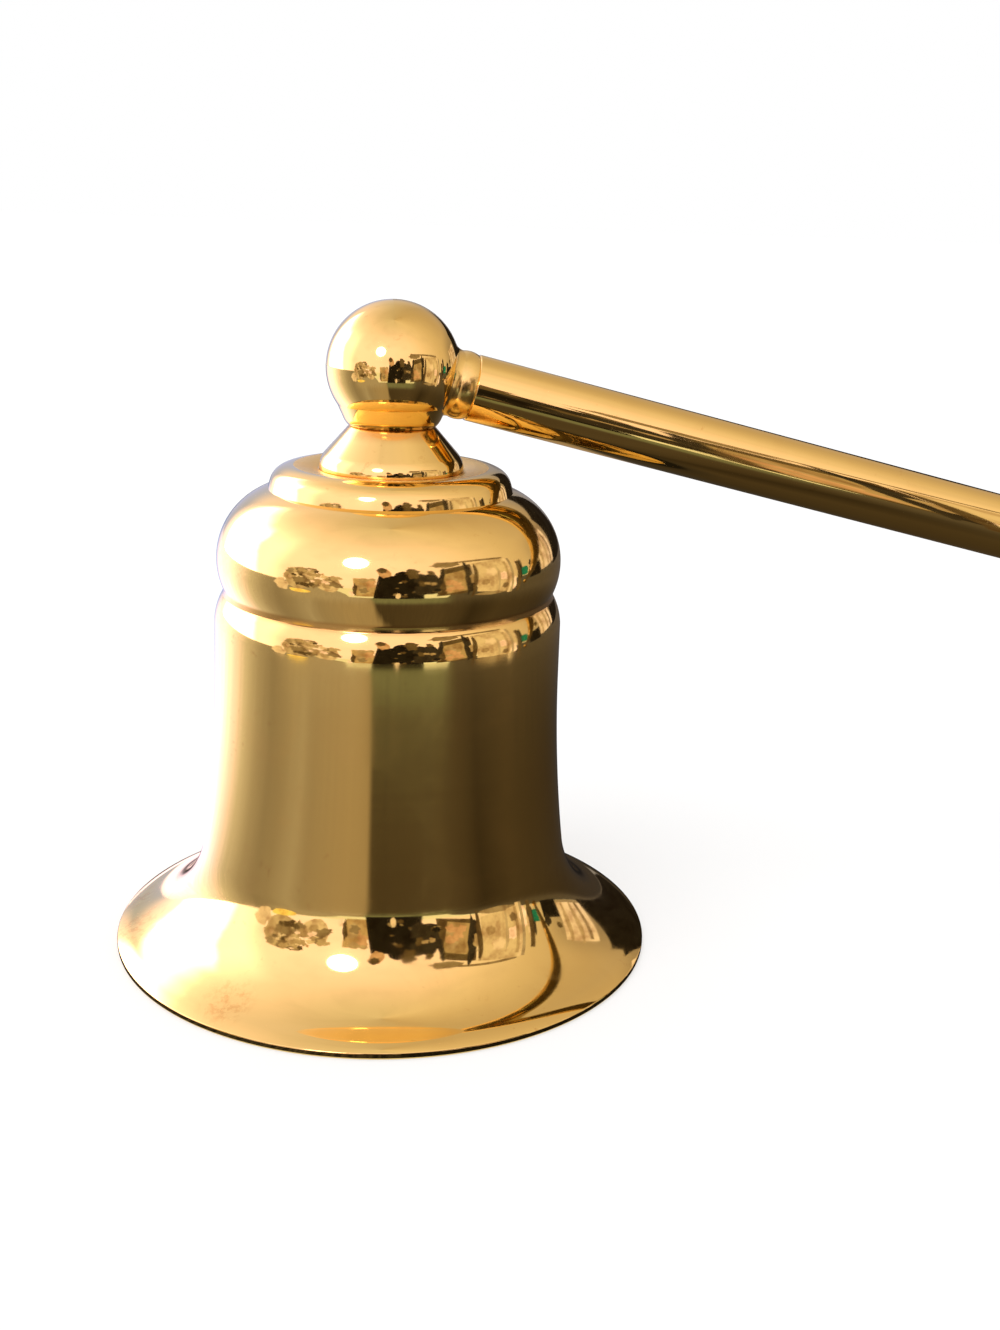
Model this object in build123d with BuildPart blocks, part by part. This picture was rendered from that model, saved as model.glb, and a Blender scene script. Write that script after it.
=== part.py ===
from build123d import *
from math import asin, cos, sin, sqrt, tan
import os

# Candle snuffer in polished brass: a turned bell with a domed, stepped shoulder, a flared neck,
# and a ball elbow that carries a slender handle. The bell stands on its rim and the handle slopes
# down until its end knob rests on the same table.
# Millimetres. Origin: centre of the rim's resting face. +Z runs up the bell's axis, and the
# handle leaves the ball towards +X.

# Bell, outside, from the lip up
rim_radius = 19.5
lip_height = 0.4
lip_bevel = 0.12
rest_width = 0.9
flare_rise = 6.9
skirt_rise = 12.9
skirt_spread = 0.8
body_radius = 12.4
band_rise = 4.4
shoulder_rise = 1.3
groove_depth = 0.6
groove_width = 0.4
dome_inset = 0.15
dome_underside_rise = 2.2
dome_rise = 4.85
dome_shoulder = 3.65
step_side_rise = 1.15
step_side_round = 0.65
step_top_rise = 0.55
step_top_round = 2.45

# Bell, inside
wall = 1.4
mouth_rise = 9.9
crown_thickness = 3.0

# Neck pedestal on the crown
foot_radius = 5.3
foot_edge = 0.1
foot_cove = 0.45
neck_foot_radius = 4.75
notch_radius = 3.05
notch_bevel = 0.12
neck_rise = 2.8
spigot_radius = 3.0
spigot_length = 1.2
spigot_clearance = 0.02

# Ball elbow: ball, bead under it and the boss that the handle screws into
ball_radius = 4.7
ball_flat_radius = 2.4
collar_rise = 1.35
collar_bulge = 0.14
boss_reach = 1.0
boss_cove = 0.9
seam_bevel = 0.08

# Handle rod and its end knob
rod_radius = 2.38
handle_reach = 157.3
knob_radius = 4.7
tenon_radius = 1.5
tenon_clearance = 0.02
tenon_bevel = 0.25
drill_overrun = 0.3
knob_tenon_length = 4.5
ball_web = 0.35

# Swivel screw up through the crown and the neck, with its two washers
shoulder_radius = 2.0
shoulder_clearance = 0.05
swivel_gap = 0.05
thread_radius = 1.5
thread_length = 2.5
head_radius = 3.4
head_height = 1.8
head_bevel = 0.4
slot_width = 0.8
slot_depth = 0.9
washer_radius = 3.7
washer_thickness = 0.5
spring_radius = 3.3
spring_thickness = 0.25
spring_rise = 0.3
seat_gap = 0.02

# Heights on the bell, each above the one before it
flare_top = lip_height + flare_rise
waist_height = flare_top + skirt_rise
band_top = waist_height + band_rise
groove_bottom = band_top + shoulder_rise
groove_top = groove_bottom + groove_width
dome_widest = groove_top + dome_underside_rise
step_foot = dome_widest + dome_rise
step_break = step_foot + step_side_rise
crown_height = step_break + step_top_rise
ceiling_height = crown_height - crown_thickness

# Radii on the bell
groove_radius = body_radius - groove_depth
dome_radius = body_radius - dome_inset
step_foot_radius = dome_radius - dome_shoulder
step_break_radius = step_foot_radius - step_side_round
step_top_radius = step_break_radius - step_top_round
bore_radius = body_radius - wall
ceiling_radius = bore_radius - (ceiling_height - dome_widest)
rest_outer_radius = rim_radius - lip_bevel
rest_inner_radius = rest_outer_radius - rest_width
shoulder_hole_radius = shoulder_radius + shoulder_clearance

# The neck's top, the seam that turns, and the ball above it
neck_top = crown_height + neck_rise
collar_base = neck_top + swivel_gap
ball_height = collar_base + sqrt(ball_radius**2 - ball_flat_radius**2)

# The handle slopes so that the knob and the rim stand on the same table
droop = asin((ball_height - knob_radius) / handle_reach)
handle_direction = Vector(cos(droop), 0, -sin(droop))
ball_centre = Vector(0, 0, ball_height)
handle_profile_plane = Plane(origin=ball_centre, x_dir=handle_direction, z_dir=(0, -1, 0))
handle_axis = Axis(ball_centre, handle_direction)
head_seam = ball_radius + boss_reach
knob_seam = handle_reach - knob_radius - boss_reach
head_socket_floor = (thread_radius + ball_web) / cos(droop) + tenon_radius * tan(droop)
head_tenon_end = head_socket_floor + drill_overrun
knob_tenon_end = knob_seam + knob_tenon_length
knob_socket_floor = knob_tenon_end + drill_overrun


def handle_station(distance):
    """Plane square to the handle, at a distance from the ball's centre."""
    return Plane(origin=ball_centre + handle_direction * distance, z_dir=handle_direction)


def blended_ball_line(radius, centre, seam):
    """Half outline of a ball that flows through a cove into a boss of the rod's size."""
    towards_seam = 1 if seam > centre else -1
    cove_along = sqrt((radius + boss_cove) ** 2 - (rod_radius + boss_cove) ** 2)
    ball_share = radius / (radius + boss_cove)
    pole = (centre - towards_seam * radius, 0)
    cove_start = (centre + towards_seam * cove_along * ball_share, (rod_radius + boss_cove) * ball_share)
    cove_end = (centre + towards_seam * cove_along, rod_radius)
    ball_arc = ThreePointArc(pole, (centre, radius), cove_start)
    TangentArc(cove_start, cove_end, tangent=ball_arc % 1)
    Line(cove_end, (seam - towards_seam * seam_bevel, rod_radius))
    Line((seam - towards_seam * seam_bevel, rod_radius), (seam, rod_radius - seam_bevel))
    Line((seam, rod_radius - seam_bevel), (seam, 0))
    Line((seam, 0), pole)


# Bell: one turned shell, open below, with a counterbored hole through its crown
with BuildPart() as bell:
    with BuildSketch(Plane.XZ):
        with BuildLine():
            Line((rest_inner_radius, 0), (rest_outer_radius, 0))
            Line((rest_outer_radius, 0), (rim_radius, lip_bevel))
            Line((rim_radius, lip_bevel), (rim_radius, lip_height - lip_bevel))
            Line((rim_radius, lip_height - lip_bevel), (rest_outer_radius, lip_height))
            skirt = TangentArc((body_radius, waist_height), (body_radius + skirt_spread, flare_top), tangent=(0, -1))
            TangentArc(skirt @ 1, (rest_outer_radius, lip_height), tangent=skirt % 1)
            Line((body_radius, waist_height), (body_radius, band_top))
            TangentArc((body_radius, band_top), (groove_radius, groove_bottom), tangent=(0, 1))
            Line((groove_radius, groove_bottom), (groove_radius, groove_top))
            ThreePointArc(
                (groove_radius, groove_top), (dome_radius, dome_widest), (step_foot_radius, step_foot)
            )
            step = TangentArc((step_top_radius, crown_height), (step_break_radius, step_break), tangent=(1, 0))
            TangentArc(step @ 1, (step_foot_radius, step_foot), tangent=step % 1)
            Line((step_top_radius, crown_height), (shoulder_hole_radius, crown_height))
            Line((shoulder_hole_radius, crown_height), (shoulder_hole_radius, ceiling_height))
            Line((shoulder_hole_radius, ceiling_height), (ceiling_radius, ceiling_height))
            Line((ceiling_radius, ceiling_height), (bore_radius, dome_widest))
            Line((bore_radius, dome_widest), (bore_radius, mouth_rise))
            TangentArc((bore_radius, mouth_rise), (rest_inner_radius, 0), tangent=(0, -1))
        make_face()
    revolve(axis=Axis.Z)
    with Locations((0, 0, crown_height)):
        CounterBoreHole(
            radius=shoulder_hole_radius,
            counter_bore_radius=spigot_radius + spigot_clearance,
            counter_bore_depth=spigot_length + spigot_clearance,
            depth=crown_thickness,
        )

# Neck: a small cone with a coved foot, centred on the crown by a spigot
with BuildPart() as neck:
    with BuildSketch(Plane.XZ):
        with BuildLine():
            cove_top = crown_height + foot_edge + foot_cove
            cone = Line((notch_radius, neck_top - notch_bevel), (neck_foot_radius, cove_top))
            TangentArc(cone @ 1, (foot_radius, crown_height + foot_edge), tangent=cone % 1)
            Line((foot_radius, crown_height + foot_edge), (foot_radius, crown_height))
            Line((foot_radius, crown_height), (spigot_radius, crown_height))
            Line((spigot_radius, crown_height), (spigot_radius, crown_height - spigot_length))
            Line((spigot_radius, crown_height - spigot_length), (shoulder_hole_radius, crown_height - spigot_length))
            Line((shoulder_hole_radius, crown_height - spigot_length), (shoulder_hole_radius, neck_top))
            Line((shoulder_hole_radius, neck_top), (notch_radius - notch_bevel, neck_top))
            Line((notch_radius - notch_bevel, neck_top), (notch_radius, neck_top - notch_bevel))
        make_face()
    revolve(axis=Axis.Z)

# Ball elbow: ball and boss turned about the handle's axis, cut flat below, with a bead round the cut
with BuildPart() as ball_elbow:
    with BuildSketch(handle_profile_plane):
        with BuildLine():
            blended_ball_line(ball_radius, 0, head_seam)
        make_face()
    revolve(axis=handle_axis)
    split(bisect_by=Plane.XY.offset(collar_base), keep=Keep.TOP)
    with BuildSketch(Plane.XZ):
        with BuildLine():
            collar_top = collar_base + collar_rise
            collar_top_radius = sqrt(ball_radius**2 - (ball_height - collar_top) ** 2)
            collar_middle = (
                (notch_radius + collar_top_radius) / 2 + collar_bulge,
                collar_base + collar_rise / 2 - collar_bulge,
            )
            ThreePointArc((notch_radius, collar_base), collar_middle, (collar_top_radius, collar_top))
            Line((collar_top_radius, collar_top), (0, collar_top))
            Line((0, collar_top), (0, collar_base))
            Line((0, collar_base), (notch_radius, collar_base))
        make_face()
    revolve(axis=Axis.Z)
    with BuildSketch(Plane.XY.offset(collar_base)):
        Circle(thread_radius + tenon_clearance)
    extrude(amount=thread_length + drill_overrun, mode=Mode.SUBTRACT)
    with BuildSketch(handle_station(head_socket_floor)):
        Circle(tenon_radius + tenon_clearance)
    extrude(amount=head_seam - head_socket_floor, mode=Mode.SUBTRACT)

# Handle rod: stock rod with a turned tenon at each end
with BuildPart() as handle_rod:
    with BuildSketch(handle_station(head_seam)):
        Circle(rod_radius)
    extrude(amount=knob_seam - head_seam)
    chamfer(handle_rod.edges().filter_by(GeomType.CIRCLE), length=seam_bevel)
    with BuildSketch(handle_station(head_tenon_end)):
        Circle(tenon_radius)
    extrude(amount=knob_tenon_end - head_tenon_end)
    tenon_ends = handle_rod.edges().filter_by(GeomType.CIRCLE).sort_by(Axis.X)
    chamfer([tenon_ends[0], tenon_ends[-1]], length=tenon_bevel)

# End knob: the head's ball and boss again, without the collar
with BuildPart() as end_knob:
    with BuildSketch(handle_profile_plane):
        with BuildLine():
            blended_ball_line(knob_radius, handle_reach, knob_seam)
        make_face()
    revolve(axis=handle_axis)
    with BuildSketch(handle_station(knob_seam)):
        Circle(tenon_radius + tenon_clearance)
    extrude(amount=knob_socket_floor - knob_seam, mode=Mode.SUBTRACT)

# Flat washer under the crown
with BuildPart() as flat_washer:
    with BuildSketch(Plane.XY.offset(ceiling_height - washer_thickness)):
        Circle(washer_radius)
        Circle(shoulder_hole_radius, mode=Mode.SUBTRACT)
    extrude(amount=washer_thickness)

# Spring washer: a ring bent to an arch, which keeps the swivel from rattling
spring_top = ceiling_height - washer_thickness - seat_gap
spring_bottom = spring_top - spring_thickness - spring_rise
with BuildPart() as spring_washer:
    with BuildSketch(Plane.XZ):
        with BuildLine():
            under = ThreePointArc(
                (-spring_radius, spring_bottom), (0, spring_bottom + spring_rise), (spring_radius, spring_bottom)
            )
            over = ThreePointArc(
                (-spring_radius, spring_bottom + spring_thickness),
                (0, spring_top),
                (spring_radius, spring_bottom + spring_thickness),
            )
            Line(under @ 0, over @ 0)
            Line(under @ 1, over @ 1)
        make_face()
    extrude(amount=spring_radius, both=True)
    with BuildSketch(Plane.XY.offset(spring_bottom)):
        Circle(spring_radius)
        Circle(shoulder_hole_radius, mode=Mode.SUBTRACT)
    extrude(amount=spring_thickness + spring_rise, mode=Mode.INTERSECT)

# Swivel screw: slotted head, plain shoulder that the bell turns on, thread into the ball
head_top = spring_bottom - seat_gap
with BuildPart() as swivel_screw:
    with BuildSketch(Plane.XY.offset(head_top - head_height)):
        Circle(head_radius)
    extrude(amount=head_height)
    chamfer(swivel_screw.edges().group_by(Axis.Z)[0], length=head_bevel)
    with BuildSketch(Plane.XY.offset(head_top - head_height)):
        Rectangle(2 * head_radius, slot_width)
    extrude(amount=slot_depth, mode=Mode.SUBTRACT)
    with BuildSketch(Plane.XY.offset(head_top)):
        Circle(shoulder_radius)
    extrude(amount=collar_base - head_top)
    with BuildSketch(Plane.XY.offset(collar_base)):
        Circle(thread_radius)
    extrude(amount=thread_length)
    chamfer(swivel_screw.edges().group_by(Axis.Z)[-1], length=tenon_bevel)

os.makedirs("parts", exist_ok=True)

bell.part.label = "bell"
export_step(bell.part, "parts/bell.step")
neck.part.label = "neck"
export_step(neck.part, "parts/neck.step")
ball_elbow.part.label = "ball_elbow"
export_step(ball_elbow.part, "parts/ball_elbow.step")
handle_rod.part.label = "handle_rod"
export_step(handle_rod.part, "parts/handle_rod.step")
end_knob.part.label = "end_knob"
export_step(end_knob.part, "parts/end_knob.step")
flat_washer.part.label = "flat_washer"
export_step(flat_washer.part, "parts/flat_washer.step")
spring_washer.part.label = "spring_washer"
export_step(spring_washer.part, "parts/spring_washer.step")
swivel_screw.part.label = "swivel_screw"
export_step(swivel_screw.part, "parts/swivel_screw.step")
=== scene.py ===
from math import asin, atan2, cos, hypot, pi, radians, sin, sqrt, tau
from random import Random

import bmesh
import bpy
from mathutils import Matrix, Vector


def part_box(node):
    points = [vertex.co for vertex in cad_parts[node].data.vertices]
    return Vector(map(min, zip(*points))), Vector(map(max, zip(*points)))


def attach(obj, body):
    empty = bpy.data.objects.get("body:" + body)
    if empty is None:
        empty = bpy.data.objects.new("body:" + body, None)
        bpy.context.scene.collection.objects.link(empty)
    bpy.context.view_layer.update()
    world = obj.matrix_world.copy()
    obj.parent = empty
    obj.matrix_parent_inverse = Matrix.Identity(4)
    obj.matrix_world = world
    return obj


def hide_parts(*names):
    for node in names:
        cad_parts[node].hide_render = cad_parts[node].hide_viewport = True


# Candle snuffer in polished brass: a turned bell, a small neck, a ball elbow and a slender handle.
# Outlines are in millimetres, in the part's own frame: +Z up the bell, +X towards the handle's end.

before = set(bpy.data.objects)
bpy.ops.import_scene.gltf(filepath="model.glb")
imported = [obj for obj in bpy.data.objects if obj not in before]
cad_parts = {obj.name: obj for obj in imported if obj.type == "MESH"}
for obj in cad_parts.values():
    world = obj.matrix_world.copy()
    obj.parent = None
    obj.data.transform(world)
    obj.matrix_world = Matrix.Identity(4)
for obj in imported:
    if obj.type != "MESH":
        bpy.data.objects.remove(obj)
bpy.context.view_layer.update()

MM = 0.001
TURNS = 192  # steps round a turned piece, enough for clean reflections
CORNER_STEPS = 4  # steps across a softened corner
BAND_RINGS = 4  # rings of faces on the straight band of the bell
MERGE_CORNER, MERGE_SKIN = 1e-6, 1e-5  # distances, in millimetres, within which doubles are merged
FACES_DOWN = -0.9  # a face whose normal drops below this looks down
SHARP_ANGLE = 30  # edges steeper than this, in degrees, stay sharp

_, bell_high = (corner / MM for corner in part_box("bell"))
neck_low, neck_high = (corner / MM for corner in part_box("neck"))
elbow_low, elbow_high = (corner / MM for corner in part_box("ball_elbow"))
knob_low, knob_high = (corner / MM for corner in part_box("end_knob"))

# Bell: its rim and crown come from the frame, the rest is listed from the lip up
rim_radius = bell_high.x
crown_height = bell_high.z
lip_height = 0.4
lip_bevel = 0.12
lip_round = 1.1
lip_round_rise = 0.52
lip_edge = 0.44
rest_width = 0.9
flare_rise = 6.9
skirt_rise = 12.9
skirt_spread = 0.8
body_radius = 12.4
band_rise = 3.8
shoulder_rise = 1.9
groove_depth = 0.6
groove_width = 0.4
groove_soft = 0.07
dome_inset = 0.15
dome_underside_rise = 2.2
dome_shoulder = 3.58
step_foot_drop = 1.72
step_break_drop = 1.05
step_break_inset = 0.18
crown_knee_drop = 0.33
crown_knee_radius = 7.9
crown_crest_drop = 0.06
crown_crest_radius = 6.9
crown_sink = 0.3
crown_inner_radius = 5.2
step_soft = 0.1
band_heading = (0.07, -1)
wall = 1.4
mouth_rise = 9.9
crown_thickness = 3.0
screw_hole_radius = 2.05

# Neck
neck_foot_radius = 4.72
neck_foot_rise = 0.85
neck_foot_bulge = 0.4
seat_line = 0.05
notch_radius = 3.12
notch_bevel = 0.12
spigot_radius = 3.0

# Ball elbow, rod and knob
ball_radius = elbow_high.y
ball_height = elbow_high.z - ball_radius
collar_rise = 1.35
collar_side = 0.83
collar_side_radius = 3.46
collar_heading = (0.70, 0.71)
collar_recess = 0.1
boss_reach = 1.0
boss_cove = 0.9
boss_bulge = 0.07
seam_bevel = 0.08
rod_radius = 2.38
knob_radius = knob_high.y
knob_height = knob_low.z + knob_radius
knob_reach = knob_high.x - knob_radius
droop = atan2(ball_height - knob_height, knob_reach)
handle_reach = hypot(ball_height - knob_height, knob_reach)
thread_hole_radius = 1.52

# Heights, radii and seams that follow from those
flare_top = lip_height + flare_rise
waist_height = flare_top + skirt_rise
band_top = waist_height + band_rise
groove_bottom = band_top + shoulder_rise
groove_top = groove_bottom + groove_width
dome_widest = groove_top + dome_underside_rise
step_break = crown_height - step_break_drop
step_foot = crown_height - step_foot_drop
ceiling_height = crown_height - crown_thickness
groove_radius = body_radius - groove_depth
dome_radius = body_radius - dome_inset
step_foot_radius = dome_radius - dome_shoulder
step_break_radius = step_foot_radius - step_break_inset
bore_radius = body_radius - wall
ceiling_radius = bore_radius - (ceiling_height - dome_widest)
rest_outer_radius = rim_radius - lip_bevel
rest_inner_radius = rest_outer_radius - rest_width
crown_floor = crown_height - crown_sink
neck_top = neck_high.z
neck_foot_outer = neck_foot_radius + neck_foot_bulge
collar_base = elbow_low.z
elbow_seam = ball_radius + boss_reach
knob_seam = handle_reach - knob_radius - boss_reach

handle_tilt = pi / 2 + droop
handle_frame = Matrix.Translation((0, 0, ball_height)) @ Matrix.Rotation(handle_tilt, 4, "Y")


class Outline:
    """Half outline of a turned piece, drawn point by point as (radius, height) and then spun."""

    def __init__(self, radius, height):
        self.mesh = bmesh.new()
        self.tip = self.mesh.verts.new((radius, 0, height))
        self.first = self.tip
        self.heading = None
        self.soft = []

    def line(self, radius, height, soften=0):
        """Straight run to a point. The corner it leaves from is rounded by soften."""
        start = self.tip.co.copy()
        if soften:
            self.soft.append((self.tip, soften))
        self.tip = bmesh.ops.extrude_vert_indiv(self.mesh, verts=[self.tip])["verts"][0]
        self.tip.co = (radius, 0, height)
        self.heading = (self.tip.co - start).normalized()

    def arc(self, radius, height, steps, leaving=None, arriving=None, soften=0):
        """Arc to a point. It leaves or arrives as told, or else carries on smoothly."""
        start, end = self.tip.co.copy(), Vector((radius, 0, height))
        chord = end - start
        if arriving:
            to = Vector((arriving[0], 0, arriving[1])).normalized()
            way = 2 * chord.dot(to) / chord.length_squared * chord - to
        else:
            way = Vector((leaving[0], 0, leaving[1])).normalized() if leaving else self.heading
        side = Vector((-way.z, 0, way.x))
        bend = chord.length_squared / (2 * chord.dot(side))
        angle = 2 * asin(max(-1, min(1, chord.dot(side) / chord.length)))
        if soften:
            self.soft.append((self.tip, soften))
        made = bmesh.ops.spin(
            self.mesh, geom=[self.tip], cent=start + bend * side, axis=(0, -1, 0),
            dvec=(0, 0, 0), angle=angle, steps=steps, use_merge=False,
        )
        self.tip = next(v for v in made["geom_last"] if isinstance(v, bmesh.types.BMVert))
        self.tip.co = end
        self.heading = (2 * chord.dot(way) / chord.length_squared * chord - way).normalized()

    def arc_through(self, middle, end, steps):
        """Arc to the end point by way of the middle one."""
        start = self.tip.co
        a = Vector((middle[0] - start.x, middle[1] - start.z))
        b = Vector((end[0] - start.x, end[1] - start.z))
        cross = 2 * (a.x * b.y - a.y * b.x)
        centre = Vector((
            b.y * a.length_squared - a.y * b.length_squared,
            a.x * b.length_squared - b.x * a.length_squared,
        )) / cross
        turn = 1 if cross > 0 else -1
        self.arc(*end, steps, leaving=(turn * centre.y, -turn * centre.x))

    def close(self):
        """Straight run back to the first point."""
        self.line(self.first.co.x, self.first.co.z)
        bmesh.ops.remove_doubles(self.mesh, verts=[self.first, self.tip], dist=MERGE_CORNER)

    def turned(self):
        """Rounds the corners and spins the outline round Z into a closed, outward skin."""
        for corner, amount in self.soft:
            bmesh.ops.bevel(
                self.mesh, geom=[corner], offset=amount, segments=CORNER_STEPS, profile=0.5,
                affect="VERTICES", material=-1,
            )
        bmesh.ops.spin(
            self.mesh, geom=self.mesh.verts[:] + self.mesh.edges[:], cent=(0, 0, 0),
            axis=(0, 0, 1), dvec=(0, 0, 0), angle=tau, steps=TURNS, use_merge=True,
        )
        bmesh.ops.remove_doubles(self.mesh, verts=self.mesh.verts[:], dist=MERGE_SKIN)
        bmesh.ops.recalc_face_normals(self.mesh, faces=self.mesh.faces[:])
        return self.mesh


def linked(name, mesh, finishes):
    """Puts a mesh into the scene as a new object with its finishes."""
    data = bpy.data.meshes.new(name)
    mesh.to_mesh(data)
    mesh.free()
    for finish in finishes:
        data.materials.append(finish)
    made = bpy.data.objects.new(name, data)
    bpy.context.scene.collection.objects.link(made)
    return made


def piece(name, mesh, finishes, body, replaces, place=Matrix.Identity(4)):
    """Makes a piece from a mesh in millimetres, hangs it on its body and hides the CAD part it
    replaces.
    """
    bmesh.ops.transform(mesh, matrix=Matrix.Scale(MM, 4) @ place, verts=mesh.verts[:])
    made = linked(name, mesh, finishes)
    made.data.shade_smooth()
    made.data.set_sharp_from_angle(angle=radians(SHARP_ANGLE))
    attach(made, body)
    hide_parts(replaces)


class Value:
    """A shader socket that can be used in sums."""

    def __init__(self, finish, socket):
        self.finish, self.socket = finish, socket

    def math(self, operation, *others):
        inputs = dict(enumerate((self, *others)))
        return self.finish.node("ShaderNodeMath", {"operation": operation}, inputs)[0]

    def __add__(self, other):
        return self.math("ADD", other)

    def __sub__(self, other):
        return self.math("SUBTRACT", other)

    def __mul__(self, other):
        return self.math("MULTIPLY", other)

    def __truediv__(self, other):
        return self.math("DIVIDE", other)

    def __rsub__(self, other):
        return self.math("MULTIPLY", -1).math("ADD", other)

    __radd__ = __add__
    __rmul__ = __mul__

    def above(self, low, high):
        """0 below low, 1 above high, smooth between them."""
        settings = {"interpolation_type": "SMOOTHSTEP"}
        inputs = {"Value": self, "From Min": low, "From Max": high}
        return self.finish.node("ShaderNodeMapRange", settings, inputs)["Result"]


class Finish:
    """A node material under construction."""

    def __init__(self, name):
        self.material = bpy.data.materials.new(name)
        self.material.use_nodes = True
        self.tree = self.material.node_tree
        self.tree.nodes.clear()

    def node(self, kind, settings=None, inputs=None):
        """Adds a node, sets it up and feeds its sockets. Its outputs are read by name or number."""
        made = self.tree.nodes.new(kind)
        for key, value in (settings or {}).items():
            if key == "stops":
                ramp = made.color_ramp
                while len(ramp.elements) < len(value):
                    ramp.elements.new(1)
                for element, (place, colour) in zip(ramp.elements, value):
                    element.position, element.color = place, (*colour, 1)
            else:
                setattr(made, key, value)
        for key, value in (inputs or {}).items():
            if isinstance(value, Value):
                self.tree.links.new(value.socket, made.inputs[key])
            elif isinstance(value, tuple) and len(value) == 3 and made.inputs[key].type == "RGBA":
                made.inputs[key].default_value = (*value, 1)
            else:
                made.inputs[key].default_value = value
        return Outputs(self, made)

    def mix(self, share, first, second):
        """Colour that goes from the first to the second by share."""
        settings = {"data_type": "RGBA", "blend_type": "MIX"}
        return self.node("ShaderNodeMix", settings, {0: share, 6: first, 7: second})[2]

    def noise(self, vector, scale, detail=2, roughness=0.5, distortion=0):
        inputs = {
            "Vector": vector, "Scale": scale, "Detail": detail, "Roughness": roughness,
            "Distortion": distortion,
        }
        return self.node("ShaderNodeTexNoise", None, inputs)["Fac"]

    def combine(self, x, y, z):
        return self.node("ShaderNodeCombineXYZ", None, {0: x, 1: y, 2: z})[0]

    def split(self, vector):
        parts = self.node("ShaderNodeSeparateXYZ", None, {0: vector})
        return parts[0], parts[1], parts[2]

    def bump(self, height, distance, strength=1.0, **base):
        """Normal of a surface with the given relief, over another one where Normal is given."""
        inputs = {"Strength": strength, "Distance": distance, "Height": height, **base}
        return self.node("ShaderNodeBump", None, inputs)["Normal"]

    def output(self, shader):
        self.node("ShaderNodeOutputMaterial", None, {"Surface": shader})
        return self.material


class Outputs:
    """The outputs of one node."""

    def __init__(self, finish, node):
        self.finish, self.node = finish, node

    def __getitem__(self, key):
        return Value(self.finish, self.node.outputs[key])


BRASS = (0.89, 0.635, 0.20)
# Colour of the tarnish, and also of the painted shade that darkens the recesses
PATINA_AND_SHADE = (0.62, 0.30, 0.07)
STEEL_PALE, STEEL_DARK = (0.52, 0.51, 0.49), (0.36, 0.35, 0.36)
STEEL_CLOUD_SCALE, STEEL_CLOUD_SHOWS = 900, (0.35, 0.7)
STEEL_SCRATCH_SCALE = (600, 6000, 6000)
STEEL_POLISH, STEEL_CLOUD_DULLS = 0.24, 0.16
STEEL_RELIEF, STEEL_RELIEF_DEPTH = 0.6, 0.002
to_handle = (
    Matrix.Rotation(-handle_tilt, 4, "Y") @ Matrix.Translation((0, 0, -ball_height * MM))
)

# Patterns in the metal. Their scales are per metre, or per radian round the axis.
TURNED_ROUND, TURNED_ACROSS = 1.2, 2600
BROAD_ROUND, BROAD_ACROSS = 0.7, 420
DRAWN_ROUND, DRAWN_ALONG, DRAWN_ACROSS = 110, 120, 400
HAIRLINES = (  # turn, scale and the levels of noise at which they show
    ((0.5, 0.2, 0.9), (300, 9000, 9000), (0.69, 0.74)),
    ((1.1, -0.7, 2.3), (11000, 500, 11000), (0.70, 0.75)),
)
SMUDGE_SCALE, SMUDGE_SHOWS = 210, (0.46, 0.72)
FLECK_SCALE, FLECK_SHOWS = 1500, (0.60, 0.70)
FLECK_PATCH_SCALE, FLECK_PATCH_SHOWS = 150, (0.50, 0.64)
STAIN_SCALE, STAIN_SHOWS = 1700, (0.44, 0.62)
SWELL_SCALE, RIPPLE_SCALE, RIPPLE_SHARE = 260, 900, 0.10
# What each of them adds
# The recess amount is painted shade: it darkens the recesses as if shade fell there
SMUDGE_TARNISH, FLECK_TARNISH, RECESS_PAINTED_SHADE, STAIN_TARNISH = 0.08, 0.30, 0.55, 0.45
SMUDGE_DULLS, HAIRLINE_DULLS, TARNISH_AND_SHADE_DULLS = 0.045, 0.05, 0.16
BROAD_RELIEF, HAIRLINE_RELIEF, RELIEF_DEPTH = 1.6, 0.10, 0.0006
RECESS_CORE, STAIN_CORE = 0.25, 0.3  # share of a painted shade ring's or a stain's size that is fully dark
GRAIN_TURN = 0.25  # quarter turn: the satin glints across its turning marks


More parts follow.
